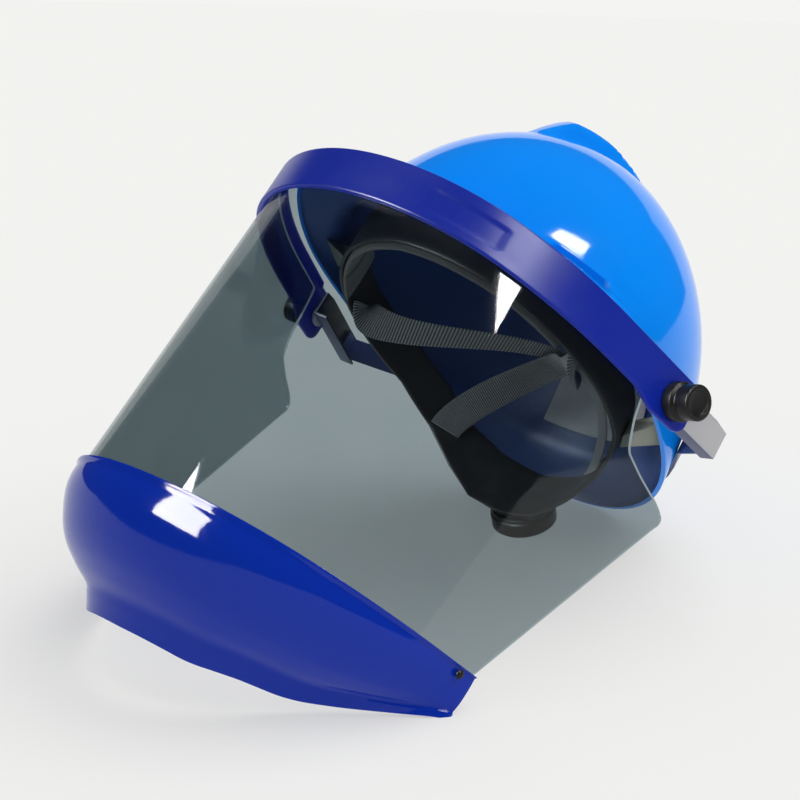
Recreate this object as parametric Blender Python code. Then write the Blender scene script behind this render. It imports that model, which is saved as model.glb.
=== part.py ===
"""Cap-style helmet with a hinged arc flash face shield, resting on its back.

Every piece is drawn in the wearer's frame: +X left, +Y rear, +Z up, with the
hinge line across the origin's left and right. An empty then tips the whole
back until the chin guard's tips and the ratchet knob stand on the floor.
"""
import math

import bmesh
import bpy
from mathutils import Vector

GAP = 0.0003

# window: two arcs and a straight leg on each side, measured along the sheet
FRONT_RADIUS = 0.0980
FRONT_ANGLE = math.radians(55.1)
SIDE_RADIUS = 0.1986
LEG_ANGLE = math.radians(73.4)
TAPER = 0.02
SHEET_STEP = 0.0100
WINDOW_WALL = 0.0015
WINDOW_REACH = 0.2366
WINDOW_TOP = 0.0120
WINDOW_DROP = 0.0452
CORNER_HEIGHT = 0.0023

# hinge
HINGE_S = 0.2078
HINGE_Y = 0.0072
HINGE_Z = 0.0042
BOSS_RADIUS = 0.0060
KNOB_RADIUS = 0.0098
KNOB_FOOT = 0.0050
KNOB_WAIST = 0.0030
CAP_RADIUS = 0.0088
CAP_LENGTH = 0.0070

# visor band
BAND_OUT = 0.0031
BAND_TOP = 0.0186
BAND_LOW = -0.0044
BAND_LIP = 0.0020
LIP_IN = 0.0030
LOBE_LEAD = 0.0258
LOBE_TAIL = 0.0127
LOBE_DROP = 0.0042
LOBE_ROUND = 0.0068

# chin guard
GUARD_TOP = -0.1613
GUARD_REACH = 0.1790
GUARD_HEIGHT = 0.0579
GUARD_SWEEP = 0.0437
GUARD_WALL = 0.0020
GUARD_LAP = 0.0090
RIVET_RADIUS = 0.0024
RIVET_INSET = 0.0100

# shell
SHELL_Y = 0.0217
SHELL_Z = 0.0120
RIM_TILT = math.radians(-4.4)
SHELL_WALL = 0.0026
DOME_HEIGHT = 0.1269
DOME_SIDE = 0.1049
DOME_FRONT = 0.1160
DOME_REAR = 0.1250
DOME_LEAN = 0.0040
RIM_SIDE = 0.0971
RIM_REACH = 0.1443
PEAK_OUT = 0.0110
BRIM_HEIGHT = 0.0210
CREST_AHEAD = 0.0667
CREST_BEHIND = 0.0863
CREST_HALF = 0.0300
CREST_TALL = 0.0120
CREST_SLOPE = 0.0040

# side bracket and rear strap
PLATE_IN = 0.0040
PLATE_WALL = 0.0015
PLATE_TALL = 0.0170
PLATE_BELOW = 0.0037
BRACKET_LEAD = 0.0118
BRACKET_TAIL = 0.0457
FLANGE_IN = 0.0090
REAR_WALL = 0.0014
REAR_TALL = 0.0140
REAR_TURN = 116.0

# headband loop, brow pad, crown straps
LOOP_Y = 0.0125
LOOP_SIDE = 0.0800
LOOP_REACH = 0.0965
LOOP_TALL = 0.0280
BROW_Z = 0.0080
NAPE_FALL = 0.0540
NAPE_TUCK = 0.0155
LOOP_WALL = 0.0025
PAD_WALL = 0.0040
PAD_TURN = 66.0
STRAP_WALL = 0.0014
STRAP_WIDTH = 0.0190
STRAP_TEMPLE = 76.0
STRAP_NAPE = 136.0
STRAP_LEVEL = 0.30
CROSS_Y = 0.0755
CROSS_Z = 0.0493
CROSS_CLEAR = 0.0036

# hangers: turns on the headband and on the shell, and their half width
HANGER_FRONT = (62.0, 65.0)
HANGER_REAR = (122.0, 112.0)
HANGER_HALF = 5.5

# ratchet and label
HOUSING_TURN = 18.0
HOUSING_WALL = 0.0060
RATCHET_RADIUS = 0.0190
RATCHET_LENGTH = 0.0107
LABEL_TURN = 20.0
LABEL_LOW = 0.0220
LABEL_HIGH = 0.0680
LABEL_WALL = 0.0010
LABEL_CLEAR = 0.0010

COLOURS = {
    "azure_shell": (0.01, 0.22, 0.95),
    "cobalt_plastic": (0.01, 0.02, 0.33),
    "smoke_window": (0.20, 0.26, 0.28),
    "black_plastic": (0.012, 0.012, 0.013),
    "charcoal_plastic": (0.03, 0.033, 0.036),
    "charcoal_webbing": (0.06, 0.065, 0.07),
    "grey_metal": (0.50, 0.50, 0.52),
    "grey_tab": (0.25, 0.27, 0.24),
    "pad_foam": (0.05, 0.055, 0.06),
    "label_paper": (0.45, 0.46, 0.47),
}


def material(name):
    mat = bpy.data.materials.get(name) or bpy.data.materials.new(name)
    mat.use_nodes = True
    bsdf = mat.node_tree.nodes["Principled BSDF"]
    bsdf.inputs["Base Color"].default_value = (*COLOURS[name], 1.0)
    bsdf.inputs["Roughness"].default_value = 0.35
    bsdf.inputs["Metallic"].default_value = 1.0 if name == "grey_metal" else 0.0
    if name == "smoke_window":
        bsdf.inputs["Alpha"].default_value = 0.55
    return mat


def finish(name, bm, look):
    bmesh.ops.recalc_face_normals(bm, faces=bm.faces)
    mesh = bpy.data.meshes.new(name)
    bm.to_mesh(mesh)
    bm.free()
    mesh.shade_smooth()
    mesh.set_sharp_from_angle(angle=math.radians(35))
    obj = bpy.data.objects.new(name, mesh)
    bpy.context.collection.objects.link(obj)
    obj.data.materials.append(material(look))
    return obj


def loft(name, rings, look, closed=False):
    """Closed solid through equal rings of points; the ends are capped."""
    bm = bmesh.new()
    loops = [[bm.verts.new(p) for p in ring] for ring in rings]
    pairs = list(zip(loops, loops[1:] + loops[:1]))
    for a, b in pairs if closed else pairs[:-1]:
        for k in range(len(a)):
            bm.faces.new((a[k - 1], a[k], b[k], b[k - 1]))
    if not closed:
        bm.faces.new(loops[0])
        bm.faces.new(loops[-1])
    return finish(name, bm, look)


def turned(name, centre, axis, profile, look, count=24):
    """Solid of revolution along its own Z; profile holds (radius, z) pairs."""
    bm = bmesh.new()
    points = [(0.0, profile[0][1]), *profile, (0.0, profile[-1][1])]
    verts = [bm.verts.new((r, 0.0, z)) for r, z in points]
    edges = [bm.edges.new(pair) for pair in zip(verts, verts[1:])]
    bmesh.ops.spin(bm, geom=verts + edges, cent=(0, 0, 0), axis=(0, 0, 1), angle=math.tau, steps=count)
    bmesh.ops.remove_doubles(bm, verts=bm.verts, dist=0.000001)
    obj = finish(name, bm, look)
    obj.location = centre
    obj.rotation_mode = "QUATERNION"
    obj.rotation_quaternion = Vector((0, 0, 1)).rotation_difference(axis)
    return obj


def along(table, key):
    """Values of a table's row at the key, read between its rows."""
    for (k0, *a), (k1, *b) in zip(table, table[1:]):
        if key <= k1:
            u = min(max((key - k0) / (k1 - k0), 0.0), 1.0)
            return [p + (q - p) * u for p, q in zip(a, b)]
    return list(table[-1][1:])


def both_ways(half):
    return [-a for a in reversed(half[1:])] + half


def steps(start, end, count):
    return [start + (end - start) * i / count for i in range(count + 1)]


def stations(end):
    """Lengths along the sheet that its pieces share, so that their facets lie parallel."""
    count = int((end - SHEET_STEP / 3) / SHEET_STEP)
    return steps(0.0, count * SHEET_STEP, count) + [end]


def arc(a):
    """Plan of half the window from its front: x, y and the heading."""
    front = FRONT_RADIUS * FRONT_ANGLE
    if a < front:
        t = a / FRONT_RADIUS
        return FRONT_RADIUS * math.sin(t), FRONT_RADIUS * (1 - math.cos(t)), t
    t = min(FRONT_ANGLE + (a - front) / SIDE_RADIUS, LEG_ANGLE)
    leg = max(a - front - SIDE_RADIUS * (LEG_ANGLE - FRONT_ANGLE), 0.0)
    x = FRONT_RADIUS * math.sin(FRONT_ANGLE) + SIDE_RADIUS * (math.sin(t) - math.sin(FRONT_ANGLE))
    y = FRONT_RADIUS * (1 - math.cos(FRONT_ANGLE)) + SIDE_RADIUS * (math.cos(FRONT_ANGLE) - math.cos(t))
    return x + leg * math.cos(t), y + leg * math.sin(t), t


def on_sheet(s, off, z):
    """Point at the length s along the sheet, moved outward by off.

    The sheet widens downward from the hinge line, and the hinge stays at
    HINGE_Y whatever the radii are.
    """
    x, y, t = arc(abs(s))
    off += TAPER * max(-z, 0.0)
    y += HINGE_Y - arc(HINGE_S)[1] - off * math.cos(t)
    return Vector((math.copysign(x + off * math.sin(t), s), y, z))


def outward(side):
    return Vector((side * math.sin(LEG_ANGLE), -math.cos(LEG_ANGLE), 0.0))


# Window: its upper rear corner is notched round the hinge, and its rear edge
# slants forward to the chin guard's tip.
NOTCH = (
    # share of the way from the notch to the rear end, share of the drop
    (0.00, 0.00),
    (0.06, 0.27),
    (0.21, 0.67),
    (0.50, 0.79),
    (0.83, 0.89),
    (0.95, 0.95),
    (1.00, 1.00),
)


def window_edges(s):
    notch = HINGE_S - BAND_OUT - KNOB_RADIUS - BOSS_RADIUS
    share = (s - notch) / (WINDOW_REACH - notch)
    top = WINDOW_TOP if share <= 0 else -WINDOW_DROP * along(NOTCH, share)[0]
    rear = -WINDOW_DROP - CORNER_HEIGHT
    slant = (rear - GUARD_TOP) / (WINDOW_REACH - GUARD_REACH)
    low = rear - slant * (WINDOW_REACH - s)
    return top, max(low, GUARD_TOP - GUARD_LAP * guard_shape(s)[0])


def build_window():
    notch = HINGE_S - BAND_OUT - KNOB_RADIUS - BOSS_RADIUS
    half = stations(notch) + [notch + k * (WINDOW_REACH - notch) for k, _ in NOTCH[1:]]
    rings = []
    for s in both_ways(half):
        top, low = window_edges(abs(s))
        bend = min((top + low) / 2, -GAP)
        outer = [on_sheet(s, 0.0, z) for z in (low, bend, top)]
        inner = [on_sheet(s, -WINDOW_WALL, z) for z in (top, bend, low)]
        rings.append(outer + inner)
    return loft("window", rings, "smoke_window")


# Visor band: an angle section over the window's top edge, with a rounded lobe
# round the hinge at each end. Its lip ends ahead of the bracket's plate, which
# it would meet when the visor is up.
LOBE = (
    # share of the lobe's length, share of its drop, share of its end rounding, share of the lip
    (0.00, 0.00, 0.00, 1.00),
    (0.21, 0.52, 0.00, 1.00),
    (0.39, 1.00, 0.00, 0.00),
    (0.83, 0.86, 0.00, 0.00),
    (0.95, 0.86, 0.38, 0.00),
    (1.00, 0.86, 1.00, 0.00),
)


def build_visor_band():
    start, length = HINGE_S - LOBE_LEAD, LOBE_LEAD + LOBE_TAIL
    half = stations(start) + [start + k[0] * length for k in LOBE[1:]]
    rings = []
    for s in both_ways(half):
        drop, trim, lip = along(LOBE, (abs(s) - start) / length)
        top = BAND_TOP - trim * LOBE_ROUND
        low = BAND_LOW - drop * LOBE_DROP + trim * LOBE_ROUND
        step = top - BAND_LIP
        chamfer = BAND_LIP * 0.4
        edge = GAP / 2 - lip * (LIP_IN + GAP / 2)
        section = ((BAND_OUT, low), (BAND_OUT, top - chamfer), (BAND_OUT - chamfer, top),
                   (edge, top), (edge, step), (GAP, step), (GAP, low))
        rings.append([on_sheet(s, off, z) for off, z in section])
    return loft("visor_band", rings, "cobalt_plastic")


# Chin guard: full height round the chin, thinning to plain tips at the sides.
GUARD_SHAPE = (
    # share of the reach, share of the height, share of the inward sweep
    (0.000, 1.000, 1.000),
    (0.335, 0.988, 0.990),
    (0.503, 0.915, 0.946),
    (0.670, 0.846, 0.880),
    (0.754, 0.755, 0.760),
    (0.838, 0.639, 0.560),
    (0.922, 0.492, 0.280),
    (1.000, 0.345, 0.030),
)
GUARD_SECTION = (
    # share of the height, share of the sweep
    (0.000, 0.000),
    (0.190, 0.000),
    (0.370, 0.112),
    (0.577, 0.288),
    (0.712, 0.517),
    (0.845, 0.870),
    (1.000, 1.000),
)


def guard_shape(s):
    return along(GUARD_SHAPE, min(abs(s) / GUARD_REACH, 1.0))


def build_chin_guard():
    half = stations(GUARD_REACH)
    last = len(GUARD_SECTION) - 1
    rings = []
    for s in both_ways(half):
        tall, sweep = guard_shape(s)
        outer, inner = [], []
        for k, (depth, inward) in enumerate(GUARD_SECTION):
            off = GAP + GUARD_WALL - inward * sweep * GUARD_SWEEP
            z = GUARD_TOP - depth * tall * GUARD_HEIGHT
            outer.append(on_sheet(s, off, z))
            slope = k / last
            inner.append(on_sheet(s, off - GUARD_WALL * (1 - 0.3 * slope), z + GUARD_WALL * 0.9 * slope))
        rings.append(outer + inner[::-1])
    return loft("chin_guard", rings, "cobalt_plastic")


def build_guard_rivet(tag, side):
    s = side * (GUARD_REACH - RIVET_INSET)
    base = on_sheet(s, GAP + GUARD_WALL + GAP, GUARD_TOP - RIVET_RADIUS - 4 * GAP)
    profile = ((RIVET_RADIUS, 0.0), (RIVET_RADIUS, RIVET_RADIUS * 0.4), (RIVET_RADIUS * 0.6, RIVET_RADIUS * 0.6))
    return turned(f"guard_rivet_{tag}", base, outward(side), profile, "black_plastic", 12)


# Hinge: a thumb knob outside the band and a boss between band and bracket.
def build_thumb_knob(tag, side):
    base = on_sheet(side * HINGE_S, BAND_OUT + GAP, HINGE_Z)
    waist = KNOB_FOOT + KNOB_WAIST
    edge = KNOB_WAIST / 3
    profile = ((KNOB_RADIUS, 0.0), (KNOB_RADIUS, KNOB_FOOT), (CAP_RADIUS - edge, KNOB_FOOT + edge),
               (CAP_RADIUS - edge, waist - edge), (CAP_RADIUS, waist), (CAP_RADIUS, waist + CAP_LENGTH - edge),
               (CAP_RADIUS - edge, waist + CAP_LENGTH))
    return turned(f"thumb_knob_{tag}", base, outward(side), profile, "black_plastic")


def build_hinge_boss(tag, side):
    """Its outer end is square to the hinge line, clear of the leaning band."""
    centre = on_sheet(side * HINGE_S, 0.0, HINGE_Z)
    n = outward(side)
    lean = abs(n.y / n.x)
    face = centre.x - side * BOSS_RADIUS * lean
    inner, outer = [], []
    for turn in steps(0.0, math.tau, 20)[:-1]:
        y, z = BOSS_RADIUS * math.cos(turn), BOSS_RADIUS * math.sin(turn)
        plate = centre.x + side * (lean * y - (PLATE_IN - GAP) / abs(n.x))
        inner.append(Vector((plate, centre.y + y, HINGE_Z + z)))
        outer.append(Vector((face, centre.y + y, HINGE_Z + z)))
    return loft(f"hinge_boss_{tag}", [inner, outer], "grey_metal")


# Side bracket: an angle along the leg, its flange carrying the rear strap.
def build_bracket(tag, side):
    low = HINGE_Z - PLATE_BELOW
    spans = steps(HINGE_S - BRACKET_LEAD, HINGE_S + BRACKET_TAIL, 6)
    rings = []
    for i, s in enumerate(spans):
        top = low + PLATE_TALL - (PLATE_WALL if i in (0, 6) else 0.0)
        section = ((PLATE_IN, low), (PLATE_IN, top), (PLATE_IN + PLATE_WALL, top),
                   (PLATE_IN + PLATE_WALL, low + PLATE_WALL),
                   (PLATE_IN + FLANGE_IN, low + PLATE_WALL), (PLATE_IN + FLANGE_IN, low))
        rings.append([on_sheet(side * s, -inset, z) for inset, z in section])
    return loft(f"side_bracket_{tag}", rings, "grey_metal")


# Shell: the rim with its peak and rear brim, then the dome ring by ring.
BRIM = (
    # share of the brim's height, share of the way from the rim to the dome
    (0.00, 0.00),
    (0.14, 0.03),
    (0.38, 0.42),
    (0.67, 0.86),
    (1.00, 1.00),
)
PEAK = (
    # turn from the front, share of the peak's outward reach
    (0, 0.62),
    (20, 0.72),
    (40, 0.98),
    (60, 1.00),
    (70, 0.86),
    (80, 0.44),
    (92, 0.12),
    (105, 0.00),
    (180, 0.00),
)
DOME_LEVELS = (0.27, 0.39, 0.52, 0.64, 0.74, 0.83, 0.90, 0.95, 0.985)
SHELL_TURNS = 56


def dome_point(turn, h, inset=0.0):
    """Point of the dome at the turn from the front and the height h."""
    k = math.sqrt(max(1 - (h / (DOME_HEIGHT - inset)) ** 2, 0.0))
    reach = DOME_FRONT - DOME_LEAN * h / DOME_HEIGHT if math.cos(turn) > 0 else DOME_REAR
    x = (DOME_SIDE - inset) * k * math.sin(turn)
    return Vector((x, SHELL_Y - (reach - inset) * k * math.cos(turn), SHELL_Z + h))


def brim_point(turn, share, inset):
    """Point of the brim at a share of its height above the tilted rim."""
    h = share * BRIM_HEIGHT
    rim_y = -(RIM_REACH - inset) * math.cos(turn)
    peak = 1 + along(PEAK, math.degrees(math.acos(math.cos(turn))))[0] * PEAK_OUT / RIM_SIDE
    rim = Vector(((RIM_SIDE - inset) * math.sin(turn) * peak, SHELL_Y + rim_y * peak, 0.0))
    p = rim.lerp(dome_point(turn, h, inset), along(BRIM, share)[0])
    level = 1 - h / (DOME_LEVELS[0] * DOME_HEIGHT)
    p.z = SHELL_Z + h + math.tan(RIM_TILT) * rim_y * level
    return p


def shell_rings(inset):
    turns = steps(0.0, math.tau, SHELL_TURNS)[:-1]
    rings = [[brim_point(t, share, inset) for t in turns] for share, _ in BRIM]
    for share in DOME_LEVELS:
        rings.append([dome_point(t, share * (DOME_HEIGHT - inset), inset) for t in turns])
    return rings


# Crest: a wedge on the dome, narrow in front and wide behind.
CREST = (
    # share of the length, share of the half width, share of the height
    (0.000, 0.10, 0.02),
    (0.137, 0.20, 1.00),
    (0.327, 0.47, 1.00),
    (0.523, 0.80, 0.78),
    (0.719, 1.00, 0.58),
    (0.882, 1.00, 0.34),
    (1.000, 0.93, 0.02),
)


def dome_z(x, y):
    reach = DOME_FRONT if y < SHELL_Y else DOME_REAR
    k = 1 - (x / DOME_SIDE) ** 2 - ((y - SHELL_Y) / reach) ** 2
    return SHELL_Z + DOME_HEIGHT * math.sqrt(max(k, 0.0))


def build_crest():
    rings = []
    for share, wide, tall in CREST:
        y = SHELL_Y - CREST_AHEAD + share * (CREST_AHEAD + CREST_BEHIND)
        w, up = wide * CREST_HALF, tall * CREST_TALL
        foot = w + CREST_SLOPE
        ring = [Vector((x, y, dome_z(x, y) + up)) for x in (-w, -w / 2, 0.0, w / 2, w)]
        ring += [Vector((x, y, dome_z(x, y) - SHELL_WALL / 2)) for x in (foot, w / 2, 0.0, -w / 2, -foot)]
        rings.append(ring)
    crest = loft("crest", rings, "azure_shell")
    crest.hide_render = True
    crest.display_type = "WIRE"
    return crest


def build_shell(crest):
    bm = bmesh.new()
    loops = [[bm.verts.new(p) for p in ring] for ring in shell_rings(0.0)[::-1] + shell_rings(SHELL_WALL)]
    for a, b in zip(loops, loops[1:]):
        for k in range(SHELL_TURNS):
            bm.faces.new((a[k - 1], a[k], b[k], b[k - 1]))
    for loop, inset in ((loops[0], 0.0), (loops[-1], SHELL_WALL)):
        crown = bm.verts.new((0.0, SHELL_Y, SHELL_Z + DOME_HEIGHT - inset))
        for k in range(SHELL_TURNS):
            bm.faces.new((loop[k - 1], loop[k], crown))
    shell = finish("helmet_shell", bm, "azure_shell")
    union = shell.modifiers.new("crest", "BOOLEAN")
    union.operation = "UNION"
    union.solver = "EXACT"
    union.object = crest
    return shell


# Rear strap: along the bracket's plate, across to the shell and round its back.
def build_rear_strap():
    low = HINGE_Z - PLATE_BELOW + PLATE_WALL + GAP
    seat = -(PLATE_IN + PLATE_WALL + GAP + REAR_WALL)
    rows = [(on_sheet(HINGE_S + BRACKET_TAIL * k, seat, low), outward(1)) for k in (0.72, 0.95)]
    step = 360 / SHELL_TURNS
    first = math.ceil(REAR_TURN / step)
    for i in range(first, SHELL_TURNS // 2 + 1):
        turn = math.radians(i * step)
        edge = [brim_point(turn, share, -2 * GAP) for share in (0.38, 0.67, 1.0)]
        out = Vector((math.sin(turn) * RIM_REACH, -math.cos(turn) * RIM_SIDE, 0.0)).normalized()
        base = max(edge, key=lambda p: p.dot(out)).copy()
        base.z = max(edge[0].z, low)
        rows.append((base, out))
    rings = []
    for p, out in rows:
        up = Vector((0, 0, REAR_TALL))
        rings.append([p, p + up, p + up + out * REAR_WALL, p + out * REAR_WALL])
    mirror = [[Vector((-q.x, q.y, q.z)) for q in ring] for ring in rings[:-1]]
    return loft("rear_strap", rings + mirror[::-1], "grey_metal")


# Headband: a loop, deep over the brow and dropping to the nape behind.
LOOP = (
    # turn from the front, share of the fall, share of the height, share of the tuck
    (0, 0.00, 1.00, 0.00),
    (45, 0.04, 0.96, 0.00),
    (90, 0.15, 0.89, 0.00),
    (112, 0.22, 0.86, 0.00),
    (130, 0.44, 1.00, 0.13),
    (145, 0.74, 1.07, 0.52),
    (160, 0.96, 1.04, 0.90),
    (180, 1.00, 1.00, 1.00),
)


def loop_edges(turn):
    fall, tall, _ = along(LOOP, abs(turn))
    low = BROW_Z - fall * NAPE_FALL
    return low, low + tall * LOOP_TALL


def loop_point(turn, inset, z):
    """Point on the headband's inner face, moved inward by inset."""
    low, high = loop_edges(turn)
    inset += along(LOOP, abs(turn))[2] * NAPE_TUCK * (high - z) / (high - low)
    t = math.radians(turn)
    return Vector(((LOOP_SIDE - inset) * math.sin(t), LOOP_Y - (LOOP_REACH - inset) * math.cos(t), z))


def loop_ring(turn, inset, wall, low, high):
    return [loop_point(turn, inset, z) for z in (low, high)] + [loop_point(turn, inset - wall, z) for z in (high, low)]


def build_headband():
    rings = [loop_ring(turn, 0.0, LOOP_WALL, *loop_edges(turn)) for turn in steps(-180, 180, 48)[:-1]]
    return loft("headband", rings, "charcoal_plastic", closed=True)


def build_brow_pad():
    rings = []
    for turn in steps(-PAD_TURN, PAD_TURN, 22):
        low, high = loop_edges(turn)
        rings.append(loop_ring(turn, GAP + PAD_WALL, PAD_WALL, low - PAD_WALL / 2, high + PAD_WALL / 4))
    return loft("brow_pad", rings, "pad_foam")


# Crown straps: webbing from the temple across to the opposite nape, each sewn
# flat to the inside of the headband at its ends and sagging back between them.
def hermite(a, ta, b, tb, u):
    return (a * (2 * u ** 3 - 3 * u * u + 1) + ta * (u ** 3 - 2 * u * u + u)
            + b * (3 * u * u - 2 * u ** 3) + tb * (u ** 3 - u * u))


def strap_end(side, turn):
    """Seat on the headband's inner face and the direction into the head."""
    low, high = loop_edges(turn)
    bow = STRAP_WIDTH ** 2 / (8 * LOOP_SIDE)
    z = low + (high - low) * STRAP_LEVEL
    p = loop_point(side * turn, bow + GAP, z)
    inward = loop_point(side * turn, bow + 2 * GAP, z) - p
    return p, inward.normalized()


def build_crown_strap(tag, side, drop):
    temple, temple_in = strap_end(-side, STRAP_TEMPLE)
    nape, nape_in = strap_end(side, STRAP_NAPE)
    cross = Vector((0.0, CROSS_Y, CROSS_Z))
    reach = (cross - temple).length
    level = Vector((nape.x - temple.x, nape.y - temple.y, 0.0)).normalized()
    sag = (temple_in * 0.15 + Vector((0.0, 0.22, -0.50))) * reach
    over = level * 0.82 * reach
    fall = (nape_in * 0.05 + Vector((0.0, 0.0, -0.40))) * reach
    count = 12
    path = [hermite(temple, sag, cross, over, u) for u in steps(0, 1, count)]
    path += [hermite(cross, over, nape, fall, u) for u in steps(0, 1, count)[1:]]
    down = Vector((0.0, 0.0, -1.0))
    rings = []
    for i, p in enumerate(path):
        u = i / count
        face = temple_in.lerp(down, u) if u < 1 else down.lerp(nape_in, u - 1)
        ahead = path[min(i + 1, len(path) - 1)] - path[max(i - 1, 0)]
        across = ahead.cross(face).normalized() * STRAP_WIDTH / 2
        n = across.cross(ahead).normalized()
        n = n if n.dot(face) > 0 else -n
        base = p + n * drop * math.sin(math.pi * u / 2)
        rings.append([base - across, base + across, base + across + n * STRAP_WALL, base - across + n * STRAP_WALL])
    return loft(f"crown_strap_{tag}", rings, "charcoal_webbing")


# Hangers: keys from the headband to the inside of the brim.
HANGER_SHARES = (0.48, 0.86)
HANGER_LEVELS = (0.38, 0.67)


def build_hanger(place, turns, tag, side):
    loop_turn, shell_turn = turns
    low, high = loop_edges(loop_turn)
    corners = ((-1, 0), (1, 0), (1, 1), (-1, 1))
    ends, wall = [], []
    for across, up in corners:
        z = low + (high - low) * HANGER_SHARES[up]
        ends.append(loop_point(side * loop_turn + across * HANGER_HALF, -LOOP_WALL - 2 * GAP, z))
        turn = math.radians(side * shell_turn + across * HANGER_HALF)
        wall.append(brim_point(turn, HANGER_LEVELS[up], SHELL_WALL + 2 * GAP))
    return loft(f"hanger_{place}_{tag}", [ends, wall], "grey_tab")


# Ratchet: a housing on the nape and the knob that tightens the headband.
def build_ratchet_housing():
    low, high = loop_edges(180)
    rings = []
    for turn in steps(-HOUSING_TURN, HOUSING_TURN, 9):
        trim = (high - low) * 0.15 * abs(turn) / HOUSING_TURN
        at = turn + 180 if turn <= 0 else turn - 180
        rings.append(loop_ring(at, -LOOP_WALL - GAP, HOUSING_WALL, low + trim, high - trim))
    return loft("ratchet_housing", rings, "black_plastic")


def build_ratchet_knob():
    low, high = loop_edges(180)
    out = -LOOP_WALL - GAP - HOUSING_WALL - GAP
    foot, head = loop_point(180, out, low), loop_point(180, out, high)
    axis = (head - foot).cross(Vector((1, 0, 0))).normalized()
    axis = axis if axis.y > 0 else -axis
    edge = RATCHET_LENGTH * 0.14
    profile = ((RATCHET_RADIUS - edge, 0.0), (RATCHET_RADIUS, edge), (RATCHET_RADIUS, RATCHET_LENGTH - edge),
               (RATCHET_RADIUS - edge, RATCHET_LENGTH))
    return turned("ratchet_knob", (foot + head) / 2, axis, profile, "black_plastic", 28)


def build_label():
    """Thin sheet on the inside of the dome, behind the head."""
    heights = steps(LABEL_LOW, LABEL_HIGH, 5)
    near = SHELL_WALL + LABEL_CLEAR
    rings = []
    for turn in steps(180 - LABEL_TURN, 180 + LABEL_TURN, 8):
        t = math.radians(turn)
        ring = [dome_point(t, h, near) for h in heights]
        rings.append(ring + [dome_point(t, h, near + LABEL_WALL) for h in heights[::-1]])
    return loft("label_sheet", rings, "label_paper")


def tip_back(objects, guard):
    """Turn about X and drop that stand the guard and the rear on one floor."""
    front = [guard.matrix_basis @ v.co for v in guard.data.vertices]
    rear = [o.matrix_basis @ v.co for o in objects if o is not guard for v in o.data.vertices]

    def lowest(points, a):
        return min(math.cos(a) * p.z - math.sin(a) * p.y for p in points)

    a, b = math.radians(20), math.radians(70)
    while b - a > 1e-9:
        middle = (a + b) / 2
        if lowest(front, middle) < lowest(rear, middle):
            a = middle
        else:
            b = middle
    ys = [math.cos(a) * p.y + math.sin(a) * p.z for p in front + rear]
    return a, Vector((0.0, -(min(ys) + max(ys)) / 2, -lowest(front, a)))


for old in list(bpy.data.objects):
    bpy.data.objects.remove(old, do_unlink=True)

chin_guard = build_chin_guard()
visor = [build_window(), build_visor_band(), chin_guard]
crest_guide = build_crest()
helmet = [build_shell(crest_guide), build_rear_strap(), build_headband(), build_brow_pad()]
helmet += [build_crown_strap("a", 1, 0.0), build_crown_strap("b", -1, STRAP_WALL + CROSS_CLEAR)]
helmet += [build_ratchet_housing(), build_ratchet_knob(), build_label()]
for tag, side in (("left", 1), ("right", -1)):
    visor += [build_guard_rivet(tag, side), build_thumb_knob(tag, side)]
    helmet += [build_hinge_boss(tag, side), build_bracket(tag, side)]
    helmet += [build_hanger("front", HANGER_FRONT, tag, side), build_hanger("rear", HANGER_REAR, tag, side)]

tip, drop = tip_back(visor + helmet, chin_guard)
wearer = bpy.data.objects.new("wearer_frame", None)
wearer.rotation_euler.x = -tip
wearer.location = drop
hinge = bpy.data.objects.new("visor_hinge", None)
hinge.location = (0.0, HINGE_Y, HINGE_Z)
hinge.parent = wearer
for empty in (wearer, hinge):
    bpy.context.collection.objects.link(empty)
for obj in helmet + [crest_guide]:
    obj.parent = wearer
for obj in visor:
    obj.parent = hinge
    obj.location -= hinge.location
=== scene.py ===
import math

import bpy
from mathutils import Matrix, Vector


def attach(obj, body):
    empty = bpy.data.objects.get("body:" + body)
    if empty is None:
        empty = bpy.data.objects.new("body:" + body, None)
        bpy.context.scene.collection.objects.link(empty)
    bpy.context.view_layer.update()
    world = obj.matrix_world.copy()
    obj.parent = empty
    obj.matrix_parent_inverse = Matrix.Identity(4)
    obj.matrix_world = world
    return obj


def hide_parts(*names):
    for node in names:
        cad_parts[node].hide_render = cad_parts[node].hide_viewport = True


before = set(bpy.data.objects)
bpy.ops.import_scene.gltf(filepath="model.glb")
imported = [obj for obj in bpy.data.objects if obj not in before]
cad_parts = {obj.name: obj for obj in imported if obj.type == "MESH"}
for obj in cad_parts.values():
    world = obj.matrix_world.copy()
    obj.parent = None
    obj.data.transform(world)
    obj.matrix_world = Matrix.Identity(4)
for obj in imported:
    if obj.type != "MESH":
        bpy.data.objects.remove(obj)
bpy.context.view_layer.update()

# Shell: one injection-moulded cap with a short peak, a flared rear brim and a
# raised crest that widens backwards. Glossy azure plastic, 2.6 mm thick, with
# a rounded rim and a boss on each side above the brim.
TIP = math.radians(44.0868)
REST = Matrix.Translation((0.0, 0.040764, 0.115098)) @ Matrix.Rotation(-TIP, 4, "X")
SHELL_Y = 0.0217
SHELL_Z = 0.0120
RIM_TILT = math.radians(-4.4)
SHELL_WALL = 0.0026
DOME_HEIGHT = 0.1269
DOME_SIDE = 0.1049
DOME_FRONT = 0.1160
DOME_REAR = 0.1250
DOME_LEAN = 0.0040
RIM_SIDE = 0.0971
RIM_REACH = 0.1443
RIM_FADE = 0.0343
PEAK_OUT = 0.0110
PEAK = (
    # turn from the front, share of the peak's outward reach
    (0, 0.62),
    (20, 0.72),
    (40, 0.98),
    (60, 1.00),
    (70, 0.86),
    (80, 0.44),
    (92, 0.12),
    (105, 0.00),
    (180, 0.00),
)
BRIM_HEIGHT = 0.0210
BRIM_TOP = 0.80
CREST_START = -0.0450
CREST_LENGTH = 0.1530
CREST_SLOPE = 0.0026
SIDE_BOSS = 0.0032
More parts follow.
